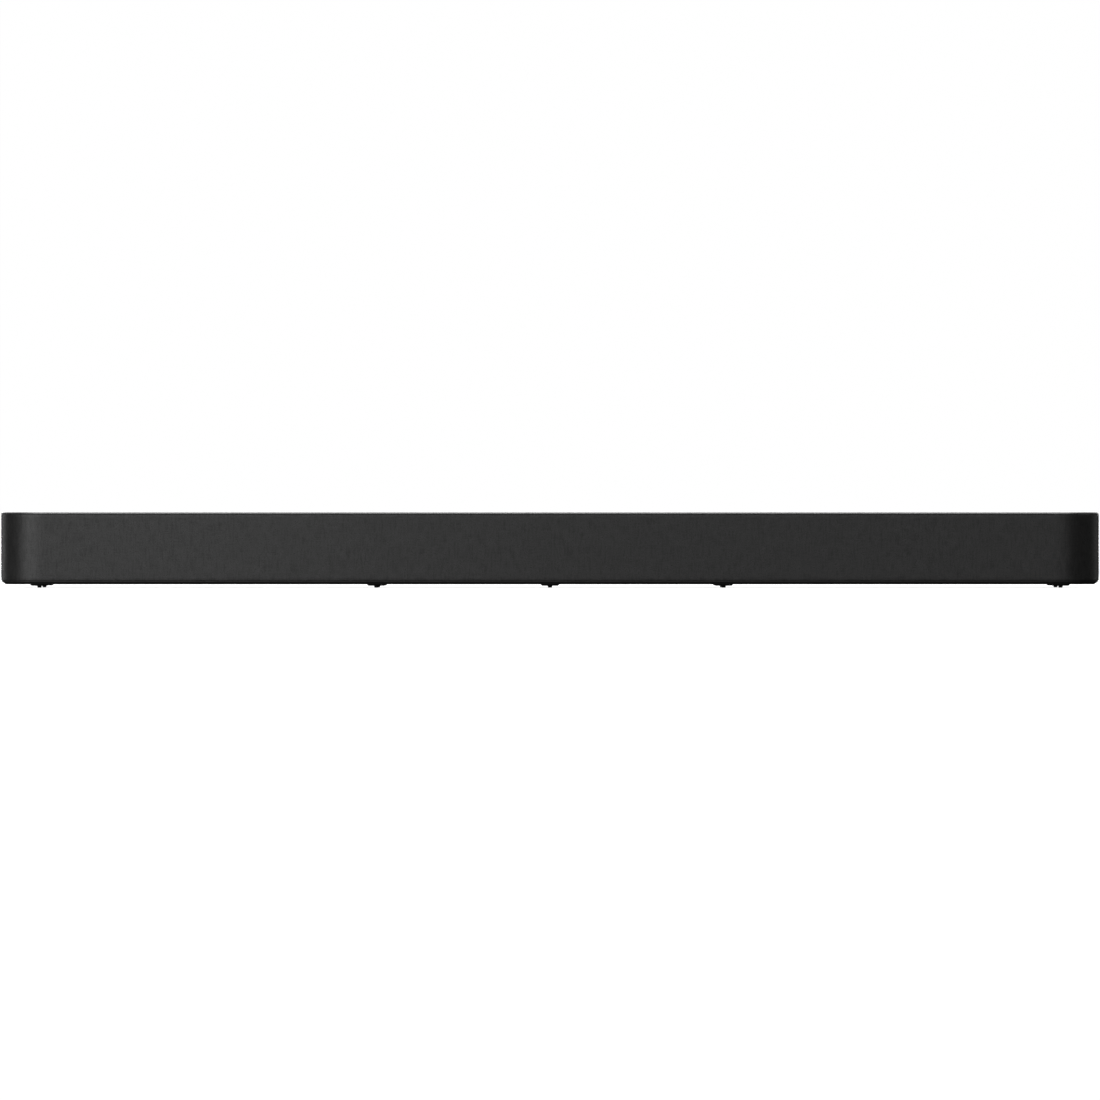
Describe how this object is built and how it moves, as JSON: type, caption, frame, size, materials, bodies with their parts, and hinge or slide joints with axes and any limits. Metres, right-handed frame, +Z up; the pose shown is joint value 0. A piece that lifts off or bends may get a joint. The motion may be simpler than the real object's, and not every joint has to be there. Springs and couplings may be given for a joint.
{
  "type": "soundbar",
  "caption": "Long low soundbar with a cloth front that wraps round its ends, a slim satin lid, small rubber feet, forward drivers and upward woofers behind slotted grilles.",
  "frame": {"origin": "on the floor under the middle of the bar", "axes": "+X along the bar to the listener's right, the cloth front faces -Y, +Z up"},
  "size_m": [0.95, 0.128, 0.065],
  "materials": {
    "case_plastic": "fine texture",
    "lid_plastic": "satin",
    "baffle_board": "matt",
    "frame_plastic": "matt",
    "cloth": "woven",
    "grille_metal": "satin",
    "foot_rubber": "matt",
    "button_plastic": "satin",
    "board": "solder mask",
    "switch_plastic": "matt",
    "light_pipe": "clear",
    "display_plastic": "gloss",
    "ir_window": "dark red",
    "basket_metal": "satin black",
    "motor_metal": "zinc plated",
    "cone_paper": "pulp",
    "surround_rubber": "matt",
    "spider_cloth": "resin cloth",
    "port_plastic": "satin",
    "chips": "matt",
    "sink_metal": "bead blasted",
    "socket_plastic": "matt",
    "socket_metal": "tinned",
    "ribbon": "satin",
    "lead_skin": "satin",
    "screw_steel": "black zinc",
    "insert_brass": "machined"
  },
  "bodies": {
    "case": {"bottom_tray": "case_plastic", "rear_panel": "case_plastic", "top_panel": "lid_plastic", "front_baffle": "baffle_board", "grille_frame": "frame_plastic", "grille_fabric": "cloth", "woofer_grille_left": "grille_metal", "woofer_grille_right": "grille_metal", "front_feet": "foot_rubber", "rear_feet": "foot_rubber", "control_board": "board", "display_board": "board", "main_board": "board", "power_board": "board", "tact_switches": "switch_plastic", "status_lights": "light_pipe", "led_matrix": "display_plastic", "ir_receiver": "ir_window", "left_driver_basket": "basket_metal", "left_driver_motor": "motor_metal", "left_driver_surround": "surround_rubber", "centre_driver_basket": "basket_metal", "centre_driver_motor": "motor_metal", "centre_driver_surround": "surround_rubber", "right_driver_basket": "basket_metal", "right_driver_motor": "motor_metal", "right_driver_surround": "surround_rubber", "left_woofer_basket": "basket_metal", "left_woofer_motor": "motor_metal", "left_woofer_surround": "surround_rubber", "right_woofer_basket": "basket_metal", "right_woofer_motor": "motor_metal", "right_woofer_surround": "surround_rubber", "left_woofer_spider": "spider_cloth", "right_woofer_spider": "spider_cloth", "left_port_tube": "port_plastic", "right_port_tube": "port_plastic", "main_board_chips": "chips", "power_components": "chips", "heat_sink": "sink_metal", "ac_inlet": "socket_plastic", "optical_socket": "socket_plastic", "hdmi_sockets": "socket_metal", "usb_socket": "socket_metal", "ribbon_cable": "ribbon", "speaker_leads": "lead_skin", "case_screws": "screw_steel", "inner_screws": "screw_steel", "wall_mount_inserts": "insert_brass"},
    "button_power": {"button_power": "button_plastic"},
    "button_source": {"button_source": "button_plastic"},
    "button_play": {"button_play": "button_plastic"},
    "button_volume_down": {"button_volume_down": "button_plastic"},
    "button_volume_up": {"button_volume_up": "button_plastic"},
    "left_driver_cone": {"left_driver_cone": "cone_paper"},
    "centre_driver_cone": {"centre_driver_cone": "cone_paper"},
    "right_driver_cone": {"right_driver_cone": "cone_paper"},
    "left_woofer_cone": {"left_woofer_cone": "cone_paper"},
    "right_woofer_cone": {"right_woofer_cone": "cone_paper"}
  },
  "joints": [
    {"name": "button_power_press", "type": "slide", "parent": "case", "child": "button_power", "axis": [0, 0, -1], "range_m": [0, 0.0005], "stiffness_N_per_m": 2500, "springref_m": -0.0002},
    {"name": "button_source_press", "type": "slide", "parent": "case", "child": "button_source", "axis": [0, 0, -1], "range_m": [0, 0.0005], "stiffness_N_per_m": 2500, "springref_m": -0.0002},
    {"name": "button_play_press", "type": "slide", "parent": "case", "child": "button_play", "axis": [0, 0, -1], "range_m": [0, 0.0005], "stiffness_N_per_m": 2500, "springref_m": -0.0002},
    {"name": "button_volume_down_press", "type": "slide", "parent": "case", "child": "button_volume_down", "axis": [0, 0, -1], "range_m": [0, 0.0005], "stiffness_N_per_m": 2500, "springref_m": -0.0002},
    {"name": "button_volume_up_press", "type": "slide", "parent": "case", "child": "button_volume_up", "axis": [0, 0, -1], "range_m": [0, 0.0005], "stiffness_N_per_m": 2500, "springref_m": -0.0002},
    {"name": "left_driver_cone_travel", "type": "slide", "parent": "case", "child": "left_driver_cone", "axis": [0, -1, 0], "range_m": [-0.002, 0.002], "stiffness_N_per_m": 1500, "deforming": ["left_driver_surround"]},
    {"name": "centre_driver_cone_travel", "type": "slide", "parent": "case", "child": "centre_driver_cone", "axis": [0, -1, 0], "range_m": [-0.002, 0.002], "stiffness_N_per_m": 1500, "deforming": ["centre_driver_surround"]},
    {"name": "right_driver_cone_travel", "type": "slide", "parent": "case", "child": "right_driver_cone", "axis": [0, -1, 0], "range_m": [-0.002, 0.002], "stiffness_N_per_m": 1500, "deforming": ["right_driver_surround"]},
    {"name": "left_woofer_cone_travel", "type": "slide", "parent": "case", "child": "left_woofer_cone", "axis": [0, 0, 1], "range_m": [-0.003, 0.003], "stiffness_N_per_m": 1500, "deforming": ["left_woofer_surround", "left_woofer_spider"]},
    {"name": "right_woofer_cone_travel", "type": "slide", "parent": "case", "child": "right_woofer_cone", "axis": [0, 0, 1], "range_m": [-0.003, 0.003], "stiffness_N_per_m": 1500, "deforming": ["right_woofer_surround", "right_woofer_spider"]}
  ]
}
